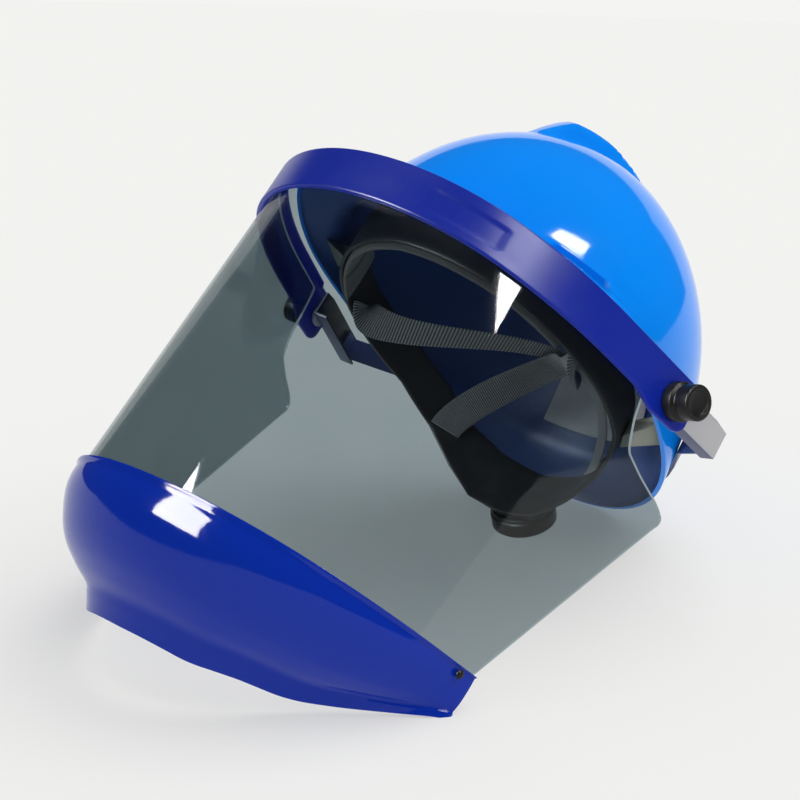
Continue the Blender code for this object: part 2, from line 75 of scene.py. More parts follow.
SHELL_GRID = 168
CREST = (
    # share of the length, half width, height
    (0.000, 0.0024, 0.0000),
    (0.137, 0.0060, 0.0120),
    (0.327, 0.0141, 0.0120),
    (0.523, 0.0240, 0.0094),
    (0.719, 0.0300, 0.0070),
    (0.882, 0.0300, 0.0041),
    (1.000, 0.0280, 0.0000),
)


def along(table, key):
    """Values of a table at the key, read between its rows."""
    for (k0, *a), (k1, *b) in zip(table, table[1:]):
        if key <= k1:
            u = min(max((key - k0) / (k1 - k0), 0.0), 1.0)
            return [p + (q - p) * u for p, q in zip(a, b)]
    return list(table[-1][1:])


def ease(a, b, x):
    u = min(max((x - a) / (b - a), 0.0), 1.0)
    return u * u * (3 - 2 * u)


def laid(name, nx, ny, place):
    """Grid of nx by ny faces whose corner i, j is put at place(i, j)."""
    bpy.ops.object.select_all(action="DESELECT")
    bpy.ops.mesh.primitive_grid_add(x_subdivisions=nx, y_subdivisions=ny, size=2)
    piece = bpy.context.object
    piece.name = piece.data.name = name
    for v in piece.data.vertices:
        v.co = place(round((v.co.x + 1) * nx / 2), round((v.co.y + 1) * ny / 2))
    return piece


def close_up(piece, gap=0.00001):
    """Merge the seams, fill the open ends and turn every face outwards."""
    bpy.ops.object.select_all(action="DESELECT")
    piece.select_set(True)
    bpy.context.view_layer.objects.active = piece
    bpy.ops.object.mode_set(mode="EDIT")
    bpy.ops.mesh.select_all(action="SELECT")
    bpy.ops.mesh.remove_doubles(threshold=gap)
    bpy.ops.mesh.fill_holes(sides=0)
    bpy.ops.mesh.select_all(action="SELECT")
    bpy.ops.mesh.normals_make_consistent(inside=False)
    bpy.ops.object.mode_set(mode="OBJECT")


def apply_modifier(piece, kind, **values):
    mod = piece.modifiers.new(kind.lower(), kind)
    for key, value in values.items():
        setattr(mod, key, value)
    bpy.ops.object.select_all(action="DESELECT")
    piece.select_set(True)
    bpy.context.view_layer.objects.active = piece
    bpy.ops.object.modifier_apply(modifier=mod.name)


def round_off(piece, width, segments, degrees):
    """Round every edge that turns by more than the angle."""
    apply_modifier(piece, "BEVEL", width=width, segments=segments, limit_method="ANGLE",
                   angle_limit=math.radians(degrees))


def smooth_over(piece, degrees=35):
    bpy.ops.object.select_all(action="DESELECT")
    piece.select_set(True)
    bpy.context.view_layer.objects.active = piece
    bpy.ops.object.shade_smooth_by_angle(angle=math.radians(degrees))


def fit_on(piece, body, slot, *nodes):
    """Bring the piece from the wearer's frame to its place and hand it over."""
    piece.data.transform(REST)
    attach(piece, body)
    if nodes:
        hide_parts(*nodes)


def moulded_skin():
    """Fine grain, flow marks and handling haze of a moulded plastic."""
    group = bpy.data.node_groups.new("moulded skin", "ShaderNodeTree")
    face = group.interface
    for name, kind, value in (("Colour", "NodeSocketColor", (0.5, 0.5, 0.5, 1)),
                              ("Tone", "NodeSocketFloat", 0.05), ("Roughness", "NodeSocketFloat", 0.3),
                              ("Haze", "NodeSocketFloat", 0.08), ("Grain", "NodeSocketFloat", 900.0),
                              ("Depth", "NodeSocketFloat", 0.00002)):
        face.new_socket(name, in_out="INPUT", socket_type=kind).default_value = value
    face.new_socket("Colour", in_out="OUTPUT", socket_type="NodeSocketColor")
    face.new_socket("Roughness", in_out="OUTPUT", socket_type="NodeSocketFloat")
    face.new_socket("Normal", in_out="OUTPUT", socket_type="NodeSocketVector")
    add = group.nodes.new
    link = group.links.new
    given, out = add("NodeGroupInput"), add("NodeGroupOutput")
    place = add("ShaderNodeTexCoord")
    flow, grain, haze = (add("ShaderNodeTexNoise") for _ in range(3))
    flow.inputs["Scale"].default_value = 14.0
    flow.inputs["Detail"].default_value = 3.0
    haze.inputs["Scale"].default_value = 55.0
    haze.inputs["Detail"].default_value = 6.0
    haze.inputs["Roughness"].default_value = 0.65
    for noise in (flow, grain, haze):
        link(place.outputs["Object"], noise.inputs["Vector"])
    link(given.outputs["Grain"], grain.inputs["Scale"])
    tone = add("ShaderNodeMix")
    tone.data_type = "RGBA"
    tone.blend_type = "MULTIPLY"
    dark = add("ShaderNodeMath")
    dark.operation = "MULTIPLY"
    link(flow.outputs["Fac"], dark.inputs[0])
    link(given.outputs["Tone"], dark.inputs[1])
    link(dark.outputs[0], tone.inputs["Factor"])
    link(given.outputs["Colour"], tone.inputs["A"])
    tone.inputs["B"].default_value = (0.0, 0.0, 0.0, 1.0)
    link(tone.outputs["Result"], out.inputs["Colour"])
    worn = add("ShaderNodeMapRange")
    worn.inputs["From Min"].default_value = 0.42
    worn.inputs["From Max"].default_value = 0.72
    link(haze.outputs["Fac"], worn.inputs["Value"])
    rise = add("ShaderNodeMath")
    rise.operation = "MULTIPLY_ADD"
    link(worn.outputs["Result"], rise.inputs[0])
    link(given.outputs["Haze"], rise.inputs[1])
    link(given.outputs["Roughness"], rise.inputs[2])
    link(rise.outputs[0], out.inputs["Roughness"])
    bump = add("ShaderNodeBump")
    bump.inputs["Strength"].default_value = 1.0
    link(grain.outputs["Fac"], bump.inputs["Height"])
    link(given.outputs["Depth"], bump.inputs["Distance"])
    link(bump.outputs["Normal"], out.inputs["Normal"])
    return group


SKIN = moulded_skin()


def plastic(name, colour, rough, haze=0.08, tone=0.10, grain=900.0, depth=0.00001, specular=0.5):
    """Material of a moulded piece, with its colour, finish and fine wear."""
    mat = bpy.data.materials.new(name)
    mat.use_nodes = True
    nodes, links = mat.node_tree.nodes, mat.node_tree.links
    bsdf = nodes["Principled BSDF"]
    skin = nodes.new("ShaderNodeGroup")
    skin.node_tree = SKIN
    for key, value in (("Colour", (*colour, 1.0)), ("Tone", tone), ("Roughness", rough), ("Haze", haze),
                       ("Grain", grain), ("Depth", depth)):
        skin.inputs[key].default_value = value
    links.new(skin.outputs["Colour"], bsdf.inputs["Base Color"])
    links.new(skin.outputs["Roughness"], bsdf.inputs["Roughness"])
    links.new(skin.outputs["Normal"], bsdf.inputs["Normal"])
    bsdf.inputs["Specular IOR Level"].default_value = specular
    return mat


def dome_point(turn, h):
    """Point of the dome at the turn from the front and the height over the rim."""
    k = math.sqrt(max(1 - (h / DOME_HEIGHT) ** 2, 0.0))
    reach = DOME_FRONT - DOME_LEAN * h / DOME_HEIGHT if math.cos(turn) > 0 else DOME_REAR
    return Vector((DOME_SIDE * k * math.sin(turn), SHELL_Y - reach * k * math.cos(turn), SHELL_Z + h))


def brim_point(turn, share):
    """Point between the rim and the dome at the share of the brim's height."""
    h = share * BRIM_HEIGHT
    rim_y = -RIM_REACH * math.cos(turn)
    round_from = math.degrees(math.acos(math.cos(turn)))
    reach = sum(along(PEAK, max(round_from + k, 0))[0] for k in (-6, -3, 0, 3, 6)) / 5
    peak = 1 + reach * PEAK_OUT / RIM_SIDE
    rim = Vector((RIM_SIDE * math.sin(turn) * peak, SHELL_Y + rim_y * peak, 0.0))
    p = rim.lerp(dome_point(turn, h), ease(0.03, 0.86, share))
    p.z = SHELL_Z + h + math.tan(RIM_TILT) * rim_y * (1 - h / RIM_FADE)
    return p


def crest_rise(x, y):
    """Height of the crest over the dome, flat on top with a steep slope each side."""
    share = (y - CREST_START) / CREST_LENGTH
    if not 0.0 < share < 1.0:
        return 0.0
    half, tall = along(CREST, share)
    crown = 1 + 0.05 * math.cos(min(abs(x) / half, 1) * 1.5)
    return tall * (1 - ease(0.0, CREST_SLOPE, abs(x) - half)) * crown


def side_boss(turn, h):
    """Low boss over the accessory slot, 41 to 59 degrees round from the front."""
    a = abs(math.degrees(turn))
    wide = ease(38.5, 43.0, a) * (1 - ease(56.5, 61.0, a))
    return SIDE_BOSS * wide * ease(0.0160, 0.0180, h) * (1 - ease(0.0205, 0.0240, h))


def shell_place(count):
    """Round sheet over a square grid: rings of the dome, then of the brim."""
    def place(i, j):
        a, b = (2 * k / count - 1 for k in (i, j))
        a, b = (0.62 * q + 0.38 * q ** 3 for q in (a, b))
        if abs(a) > abs(b):
            r, phi = a, math.pi / 4 * b / a
        elif b:
            r, phi = b, math.pi / 2 - math.pi / 4 * a / b
        else:
            r, phi = 0.0, 0.0
        dx, dy = r * math.cos(phi), r * math.sin(phi)
        rho, turn = math.hypot(dx, dy), math.atan2(dx, -dy)
        if rho > BRIM_TOP:
            h = BRIM_HEIGHT * (1 - rho) / (1 - BRIM_TOP)
            p = brim_point(turn, h / BRIM_HEIGHT)
        else:
            h = DOME_HEIGHT * math.cos(rho / BRIM_TOP * math.acos(BRIM_HEIGHT / DOME_HEIGHT))
            p = dome_point(turn, h)
            p.z += crest_rise(p.x, p.y)
        return p + Vector((math.sin(turn), -math.cos(turn), 0.3)) * side_boss(turn, h)
    return place


azure = plastic("azure shell plastic", (0.001, 0.270, 1.0), 0.07, haze=0.05, tone=0.10, specular=0.28)
# The inner face is the same azure plastic, painted a darker navy as painted shade inside the cap, and
# rougher.
inner_shade = plastic("rough inner face in painted shade", (0.014, 0.075, 0.300), 0.50, haze=0.12, tone=0.20)
shell = laid("shell_moulding", SHELL_GRID, SHELL_GRID, shell_place(SHELL_GRID))
shell.data.materials.append(azure)
shell.data.materials.append(inner_shade)
apply_modifier(shell, "SOLIDIFY", thickness=SHELL_WALL, offset=-1.0, material_offset=1)
if sum(f.normal.z for f in shell.data.polygons[:SHELL_GRID]) < 0:
    shell.data.flip_normals()
round_off(shell, 0.0009, 2, 70)
smooth_over(shell, 40)
fit_on(shell, "helmet", "azure_shell", "helmet_shell")

# Side brackets, hinge bosses and rear strap: folded light grey sheet on each
# side of the shell, joined round the back by one thin strip. The edges are
# tumbled, so each piece keeps its folded shape with a small round.
def eased_copy(name, node, width, segments=2, angle=25):
    """Copy of a solid with its flats merged and its corners rounded."""
    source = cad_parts[node]
    bpy.ops.object.select_all(action="DESELECT")
    piece = source.copy()
    piece.data = source.data.copy()
    piece.name = piece.data.name = name
    piece.modifiers.clear()
    piece.parent = None
    bpy.context.collection.objects.link(piece)
    piece.data.materials.clear()
    piece.select_set(True)
    bpy.context.view_layer.objects.active = piece
    bpy.ops.object.mode_set(mode="EDIT")
    bpy.ops.mesh.select_all(action="SELECT")
    bpy.ops.mesh.remove_doubles(threshold=0.00001)
    bpy.ops.mesh.dissolve_limited(angle_limit=math.radians(0.5))
    bpy.ops.object.mode_set(mode="OBJECT")
    round_off(piece, width, segments, angle)
    smooth_over(piece, 40)
    return piece


def hand_over(piece, body, node, mat):
    """Give the copy its material and put it in the place of its solid."""
    piece.data.materials.append(mat)
    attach(piece, body)
    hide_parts(node)


grey_sheet = plastic("light grey sheet", (0.50, 0.50, 0.53), 0.34, haze=0.14, tone=0.16, grain=420.0,
                     depth=0.00002)
grey_sheet.node_tree.nodes["Principled BSDF"].inputs["Metallic"].default_value = 0.25
# Blue-grey painted shade for grey sheet that lies in shadow.
painted_shade = plastic("blue-grey painted shade", (0.085, 0.100, 0.200), 0.38, haze=0.12, tone=0.20)
black = plastic("satin black plastic", (0.008, 0.008, 0.009), 0.33, haze=0.16, grain=1200.0,
                depth=0.00002, specular=0.25)
under = REST.to_3x3() @ Vector((0.0, 0.0, -1.0))
for side, sign in (("left", 1), ("right", -1)):
    plate = eased_copy(f"bracket_plate_{side}", f"side_bracket_{side}", 0.0004)
    hand_over(plate, "helmet", f"side_bracket_{side}", grey_sheet)
    plate.data.materials.append(black)
    plate.data.materials.append(painted_shade)
    # Painted shade: faces turned in towards the head take the satin black, and faces turned down take
    # the blue-grey.
    for face in plate.data.polygons:
        if face.normal.x * sign < -0.7:
            face.material_index = 1
        elif face.normal.dot(under) > 0.7:
            face.material_index = 2
    hand_over(eased_copy(f"boss_{side}", f"hinge_boss_{side}", 0.0004), "helmet",
              f"hinge_boss_{side}", grey_sheet)
# The rear strip takes the blue-grey as painted shade over its light grey sheet.
hand_over(eased_copy("rear_strip", "rear_strap", 0.0003), "helmet", "rear_strap", painted_shade)

# Suspension keys and inner label: four grey plastic keys that carry the
# headband in the shell, and a bare sheet stuck inside the dome.
key_plastic = plastic("grey key plastic", (0.24, 0.26, 0.22), 0.48, haze=0.12, depth=0.00004)
for place in ("front", "rear"):
    for side in ("left", "right"):
        node = f"hanger_{place}_{side}"
        key = eased_copy(f"key_{place}_{side}", node, 0.0008, 3)
        hand_over(key, "helmet", node, key_plastic)
paper = plastic("bare label sheet", (0.58, 0.59, 0.60), 0.62, haze=0.10, tone=0.25, grain=2600.0,
                depth=0.00003)
hand_over(eased_copy("label_stock", "label_sheet", 0.0002), "helmet", "label_sheet", paper)

# Headband: a charcoal polypropylene loop with thickened edges, deep over the
# brow and dropping to the nape, where the ratchet draws it in.
LOOP_Y = 0.0125
LOOP_SIDE = 0.0800
LOOP_REACH = 0.0965
LOOP_TALL = 0.0280
BROW_Z = 0.0080
NAPE_FALL = 0.0540
NAPE_TUCK = 0.0155
LOOP_WALL = 0.0025
LOOP_COLUMNS = 144
SECTION_POINTS = 28
NAPE_RAISE = 0.30
LOOP = (
    # turn from the front, share of the fall, share of the height, share of the tuck
    (0, 0.00, 1.00, 0.00),
    (45, 0.04, 0.96, 0.00),
    (90, 0.15, 0.89, 0.00),
    (112, 0.22, 0.86, 0.00),
    (130, 0.44, 1.00, 0.13),
    (145, 0.74, 1.07, 0.52),
    (160, 0.96, 1.04, 0.90),
    (180, 1.00, 1.00, 1.00),
)


def loop_edges(turn):
    """Heights of the band's lower and upper edge at the turn from the front."""
    fall, tall, _ = along(LOOP, abs(turn))
    low = BROW_Z - fall * NAPE_FALL
    return low, low + tall * LOOP_TALL


def loop_point(turn, inset, share):
    """Point at the share of the band's height, moved inward from its inner face."""
    low, high = loop_edges(turn)
    inset += along(LOOP, abs(turn))[2] * NAPE_TUCK * (1 - share)
    t = math.radians(turn)
    z = low + (high - low) * share
    return Vector(((LOOP_SIDE - inset) * math.sin(t), LOOP_Y - (LOOP_REACH - inset) * math.cos(t), z))


def band_section(count):
    """Closed outline of a strip with a bead on each edge: share of height, share of wall."""
    outline = []
    for k in range(count):
        t = math.tau * k / count
        z = 0.5 - 0.5 * math.copysign(abs(math.cos(t)) ** 0.35, math.cos(t))
        wall = 0.5 - 0.5 * math.copysign(abs(math.sin(t)) ** 0.25, math.sin(t))
        thin = 0.28 * ease(0.10, 0.16, z) * (1 - ease(0.84, 0.90, z))
        outline.append((z, wall + (0.5 - wall) * thin))
    return outline


charcoal = plastic("charcoal headband plastic", (0.030, 0.031, 0.034), 0.42, haze=0.16, grain=1600.0,
                   depth=0.00003)
section = band_section(SECTION_POINTS)


def headband_place(i, j):
    z, wall = section[j % SECTION_POINTS]
    turn = i * 360 / LOOP_COLUMNS - 180
    return loop_point(turn, -LOOP_WALL * wall, z * (1 + NAPE_RAISE * ease(138, 162, abs(turn))))


headband = laid("headband_strap", LOOP_COLUMNS, SECTION_POINTS, headband_place)
headband.data.materials.append(charcoal)
close_up(headband)
smooth_over(headband, 50)
fit_on(headband, "helmet", "charcoal_plastic", "headband")

# Brow pad: soft knitted fabric over foam, sewn in channels and clipped to the
# inside of the headband over the brow.
PAD_WALL = 0.0040
PAD_TURN = 66.0
PAD_CHANNEL = 16.5
PAD_COLUMNS = 176
PAD_POINTS = 36
foam = plastic("brow pad knit", (0.115, 0.112, 0.108), 0.85, haze=0.10, tone=0.30, grain=1500.0,
               depth=0.00025)
foam.node_tree.nodes["Principled BSDF"].inputs["Sheen Weight"].default_value = 0.35


def pad_place(i, j):
    """Crowned section round the band, pinched at each channel's seam and at the ends."""
    turn = -PAD_TURN + 2 * PAD_TURN * i / PAD_COLUMNS
    t = math.tau * j / PAD_POINTS
    low, high = loop_edges(turn)
    over = PAD_WALL / (high - low)
    z = 0.5 - (0.5 + over * 0.5) * math.cos(t)
    half = PAD_CHANNEL / 2
    seam = min(abs((turn + PAD_TURN) % PAD_CHANNEL - half) / half, 1.0)
    plump = 0.62 + 0.55 * (1 - ease(0.80, 1.0, seam)) * math.sqrt(max(math.sin(min(t, math.pi)), 0.0))
    end = math.sqrt(max(1 - abs(turn / PAD_TURN) ** 24, 0.0))
    deep = PAD_WALL * (plump if t < math.pi else 0.0) * end
    side = abs(math.sin(t)) ** 0.4
    inner = 0.0004 + PAD_WALL * 0.5 * (1 - side)
    return loop_point(turn, inner + deep * side, z)


pad = laid("brow_cushion", PAD_COLUMNS, PAD_POINTS, pad_place)
pad.data.materials.append(foam)
close_up(pad)
smooth_over(pad, 70)
fit_on(pad, "helmet", "pad_foam", "brow_pad")

# Crown straps: two ribbed polyester webs that cross over the head, each sewn to
# the inside of the headband at the temple and at the opposite nape and slack.
STRAP_WALL = 0.0014
STRAP_WIDTH = 0.0190
CROSS = Vector((0.0, 0.0755, 0.0493))
TEMPLE_TURN = 76.0
NAPE_TURN = 136.0
RIBS = 150
RIB_COLUMNS = 4
RIB_DEPTH = 0.00022
WEB_POINTS = 16


def ribbed_web():
    """Polyester webbing whose attribute "rib" runs dark in the grooves between the ribs: painted shade
    in the grooves.
    """
    mat = plastic("ribbed webbing", (0.48, 0.485, 0.49), 0.78, haze=0.12, tone=0.35, grain=3200.0,
                  depth=0.00012)
    nodes, links = mat.node_tree.nodes, mat.node_tree.links
    bsdf = nodes["Principled BSDF"]
    bsdf.inputs["Sheen Weight"].default_value = 0.4
    skin = next(n for n in nodes if n.type == "GROUP")
    groove = nodes.new("ShaderNodeAttribute")
    shade = nodes.new("ShaderNodeMapRange")
    groove_shade = nodes.new("ShaderNodeMix")
    groove.attribute_name = "rib"
    shade.inputs["From Min"].default_value = -0.6
    shade.inputs["From Max"].default_value = 0.5
    groove_shade.data_type = "RGBA"
    groove_shade.inputs["A"].default_value = (0.030, 0.031, 0.033, 1.0)
    links.new(groove.outputs["Fac"], shade.inputs["Value"])
    links.new(shade.outputs["Result"], groove_shade.inputs["Factor"])
    links.new(skin.outputs["Colour"], groove_shade.inputs["B"])
    links.new(groove_shade.outputs["Result"], bsdf.inputs["Base Color"])
    return mat


def hermite(a, ta, b, tb, u):
    """Point of the curve from a to b with the end slopes ta and tb."""
    return (a * (2 * u ** 3 - 3 * u * u + 1) + ta * (u ** 3 - 2 * u * u + u)
            + b * (3 * u * u - 2 * u ** 3) + tb * (u ** 3 - u * u))


def strap_end(side, turn):
    """Place of a web's end on the band's inner face, and the way inward from it."""
    bow = STRAP_WIDTH ** 2 / (8 * LOOP_SIDE)
    p = loop_point(side * turn, bow + 0.0003, 0.30)
    return p, (loop_point(side * turn, bow + 0.0006, 0.30) - p).normalized()


def strap_places(side, drop, count):
    """Rings of the web from the temple over the crossing to the opposite nape."""
    temple, temple_in = strap_end(-side, TEMPLE_TURN)
    nape, nape_in = strap_end(side, NAPE_TURN)
    reach = (CROSS - temple).length
    level = Vector((nape.x - temple.x, nape.y - temple.y, 0.0)).normalized()
    sag = (temple_in * 0.15 + Vector((0.0, 0.22, -0.50))) * reach
    over = level * 0.82 * reach
    fall = (nape_in * 0.05 + Vector((0.0, 0.0, -0.40))) * reach
    half = count // 2
    path = [hermite(temple, sag, CROSS, over, k / half) for k in range(half + 1)]
    path += [hermite(CROSS, over, nape, fall, k / half) for k in range(1, half + 1)]
    down = Vector((0.0, 0.0, -1.0))
    rings = []
    for i, p in enumerate(path):
        u = i / half
        face = temple_in.lerp(down, u) if u < 1 else down.lerp(nape_in, u - 1)
        ahead = path[min(i + 1, count)] - path[max(i - 1, 0)]
        across = ahead.cross(face).normalized() * STRAP_WIDTH / 2
        n = across.cross(ahead).normalized()
        n = n if n.dot(face) > 0 else -n
        rib = RIB_DEPTH * math.cos(math.tau * RIBS * i / count)
        base = p + n * (drop * math.sin(math.pi * u / 2) + STRAP_WALL / 2)
        ring = []
        for k in range(WEB_POINTS):
            t = math.tau * k / WEB_POINTS
            w = math.copysign(abs(math.cos(t)) ** 0.3, math.cos(t))
            h = math.copysign(abs(math.sin(t)) ** 0.5, math.sin(t)) * (STRAP_WALL / 2 - RIB_DEPTH + rib)
            ring.append(base + across * w + n * h)
        rings.append(ring)
    return lambda i, j: rings[i][j % WEB_POINTS]


web = ribbed_web()
for tag, side, drop in (("a", 1, 0.0), ("b", -1, 0.0050)):
    places = strap_places(side, drop, RIBS * RIB_COLUMNS)
    stops = []
    strap = laid(f"crown_web_{tag}", RIBS * RIB_COLUMNS, WEB_POINTS,
                 lambda i, j: stops.append(i) or places(i, j))
    # The "rib" attribute carries the painted shade that darkens the grooves between the ribs.
    rib = strap.data.attributes.new("rib", "FLOAT", "POINT")
    rib.data.foreach_set("value", [math.cos(math.tau * i / RIB_COLUMNS) for i in stops])
    strap.data.materials.append(web)
    close_up(strap)
    smooth_over(strap, 60)
    fit_on(strap, "helmet", "charcoal_webbing", f"crown_strap_{tag}")

# Ratchet: a satin black housing over the nape and the knob that draws the band
# in, turned with a foot, a grip and a shallow dish in its face.
hand_over(eased_copy("nape_housing", "ratchet_housing", 0.0012, 3), "helmet",
          "ratchet_housing", black)
HOUSING_OUT = 0.0066
RATCHET_RADIUS = 0.0190
RATCHET_LENGTH = 0.0107


def turned(name, profile, sides, bevel):
    """Solid drawn up along Z from a disc, one extrusion to each radius and height."""
    bpy.ops.object.select_all(action="DESELECT")
    radius, height = profile[0]
    bpy.ops.mesh.primitive_circle_add(vertices=sides, radius=radius, fill_type="NGON",
                                      location=(0, 0, height))
    piece = bpy.context.object
    piece.name = piece.data.name = name
    bpy.ops.object.transform_apply(location=True)
    bpy.ops.object.mode_set(mode="EDIT")
    bpy.ops.mesh.select_all(action="SELECT")
    for r, z in profile[1:]:
        bpy.ops.mesh.extrude_region_move(TRANSFORM_OT_translate={"value": (0, 0, z - height)})
        bpy.ops.transform.resize(value=(r / radius, r / radius, 1), center_override=(0, 0, z))
        radius, height = r, z
    bpy.ops.object.mode_set(mode="OBJECT")
    close_up(piece, 0.000001)
    round_off(piece, bevel, 3, 35)
    return piece


def stand_at(piece, base, axis):
    """Move the upright piece to its base and turn its Z onto the axis."""
    turn = Vector((0, 0, 1)).rotation_difference(axis).to_matrix().to_4x4()
    piece.data.transform(Matrix.Translation(base) @ turn)


foot = loop_point(180, -LOOP_WALL - HOUSING_OUT, 0.0)
head = loop_point(180, -LOOP_WALL - HOUSING_OUT, 1.0)
axis = (head - foot).cross(Vector((1, 0, 0))).normalized()
axis = axis if axis.y > 0 else -axis
profile = [(RATCHET_RADIUS - 0.0012, 0.0), (RATCHET_RADIUS - 0.0012, 0.0020), (RATCHET_RADIUS, 0.0026),
           (RATCHET_RADIUS, RATCHET_LENGTH), (RATCHET_RADIUS - 0.0030, RATCHET_LENGTH),
           (RATCHET_RADIUS - 0.0042, RATCHET_LENGTH - 0.0012), (0.0050, RATCHET_LENGTH - 0.0016)]
ratchet = turned("ratchet_wheel", profile, 72, 0.0004)
ratchet.data.materials.append(black)
smooth_over(ratchet, 40)
stand_at(ratchet, (foot + head) / 2, axis)
fit_on(ratchet, "ratchet_knob", "black_plastic", "ratchet_knob")

# Window: one 1.5 mm smoke-tinted sheet bent in two arcs and a straight leg on
# each side, with a notch round the hinge. Its sawn edge glows as a painted highlight.
FRONT_RADIUS = 0.0980
FRONT_ANGLE = math.radians(55.1)
SIDE_RADIUS = 0.1986
LEG_ANGLE = math.radians(73.4)
TAPER = 0.02
WINDOW_WALL = 0.0015
WINDOW_REACH = 0.2366
WINDOW_TOP = 0.0120
WINDOW_DROP = 0.0452
CORNER_HEIGHT = 0.0023
CORNER_TRIM = 0.0010
EDGE_SPAN = 0.0022
WINDOW_ROWS = 48
HINGE_S = 0.2078
HINGE_Y = 0.0072
HINGE_Z = 0.0042
NOTCH_S = 0.1891
GUARD_TOP = -0.1613
GUARD_REACH = 0.1790
GUARD_LAP = 0.0090
NOTCH = (
    # share of the way from the notch to the rear end, share of the drop
    (0.00, -0.26),
    (0.06, 0.27),
    (0.21, 0.67),
    (0.50, 0.79),
    (0.83, 0.89),
    (0.95, 0.95),
    (1.00, 1.00),
)


def arc(a):
    """Sideways and rearward place and turn at the length a along the sheet from its middle."""
    front = FRONT_RADIUS * FRONT_ANGLE
    if a < front:
        t = a / FRONT_RADIUS
        return FRONT_RADIUS * math.sin(t), FRONT_RADIUS * (1 - math.cos(t)), t
    t = min(FRONT_ANGLE + (a - front) / SIDE_RADIUS, LEG_ANGLE)
    leg = max(a - front - SIDE_RADIUS * (LEG_ANGLE - FRONT_ANGLE), 0.0)
    x = FRONT_RADIUS * math.sin(FRONT_ANGLE) + SIDE_RADIUS * (math.sin(t) - math.sin(FRONT_ANGLE))
    y = FRONT_RADIUS * (1 - math.cos(FRONT_ANGLE)) + SIDE_RADIUS * (math.cos(FRONT_ANGLE) - math.cos(t))
    return x + leg * math.cos(t), y + leg * math.sin(t), t


def on_sheet(s, off, z):
    """Point at the length s along the sheet, moved outward by off."""
    x, y, t = arc(abs(s))
    off += TAPER * max(-z, 0.0)
    y += HINGE_Y - arc(HINGE_S)[1] - off * math.cos(t)
    return Vector((math.copysign(x + off * math.sin(t), s), y, z))


def window_top(s):
    """Upper edge of the sheet, which drops behind the hinge in a notch."""
    if s < NOTCH_S:
        return WINDOW_TOP
    return -WINDOW_DROP * along(NOTCH, (s - NOTCH_S) / (WINDOW_REACH - NOTCH_S))[0]


def window_low(s):
    """Lower edge of the sheet, level inside the guard and slanting up to the rear end."""
    rear = -WINDOW_DROP - CORNER_HEIGHT
    slant = (rear - GUARD_TOP) / (WINDOW_REACH - GUARD_REACH)
    return max(rear - slant * (WINDOW_REACH - s), GUARD_TOP - GUARD_LAP * 0.8)


def softened(edge, s):
    """Height of the edge at s, averaged over the span that rounds its corners."""
    return sum(edge(min(s + EDGE_SPAN * k / 4, WINDOW_REACH)) for k in range(-4, 5)) / 9


half = [0.004 * k for k in range(46)] + [0.184 + 0.0008 * k for k in range(66)]
half = [s for s in half if s < WINDOW_REACH - 0.0004] + [WINDOW_REACH]
columns = [-s for s in reversed(half[1:])] + half


def window_place(i, j):
    s = columns[i]
    top, low = softened(window_top, abs(s)), softened(window_low, abs(s))
    if abs(s) == WINDOW_REACH:
        top, low = top - CORNER_TRIM, low + CORNER_TRIM
    return on_sheet(s, 0.0, low + (top - low) * j / WINDOW_ROWS)


def smoke_sheet():
    """Clear tinted acetate: straight through, with a hard gloss and faint wipe marks in the tint."""
    mat = bpy.data.materials.new("smoke window")
    mat.use_nodes = True
    nodes, links = mat.node_tree.nodes, mat.node_tree.links
    bsdf = nodes["Principled BSDF"]
    place = nodes.new("ShaderNodeTexCoord")
    wipe = nodes.new("ShaderNodeTexNoise")
    tint = nodes.new("ShaderNodeValToRGB")
    wipe.inputs["Scale"].default_value = 22.0
    wipe.inputs["Detail"].default_value = 6.0
    tint.color_ramp.elements[0].position = 0.35
    tint.color_ramp.elements[0].color = (0.285, 0.345, 0.365, 1.0)
    tint.color_ramp.elements[1].position = 0.70
    tint.color_ramp.elements[1].color = (0.305, 0.362, 0.382, 1.0)
    links.new(place.outputs["Object"], wipe.inputs["Vector"])
    links.new(wipe.outputs["Fac"], tint.inputs["Fac"])
    links.new(tint.outputs["Color"], bsdf.inputs["Base Color"])
    bsdf.inputs["Roughness"].default_value = 0.0
    bsdf.inputs["IOR"].default_value = 1.002
    bsdf.inputs["Transmission Weight"].default_value = 1.0
    bsdf.inputs["Coat Weight"].default_value = 0.45
    bsdf.inputs["Coat Roughness"].default_value = 0.03
    return mat


def glowing_edge():
    mat = plastic("sawn window edge with painted glow", (0.50, 0.56, 0.56), 0.45, haze=0.2, tone=0.2)
    bsdf = mat.node_tree.nodes["Principled BSDF"]
    # Painted highlight: the edge glows faintly, standing in for light caught along it.
    bsdf.inputs["Emission Color"].default_value = (0.55, 0.62, 0.62, 1.0)
    bsdf.inputs["Emission Strength"].default_value = 0.25
    return mat


window = laid("window_sheet", len(columns) - 1, WINDOW_ROWS, window_place)
window.data.materials.append(smoke_sheet())
window.data.materials.append(glowing_edge())
front = min(window.data.polygons, key=lambda f: f.center.y)
if front.normal.y > 0:
    window.data.flip_normals()
apply_modifier(window, "SOLIDIFY", thickness=WINDOW_WALL, offset=-1.0, material_offset_rim=1)
smooth_over(window, 35)
window.visible_diffuse = window.visible_shadow = False
fit_on(window, "visor", "smoke_window", "window")

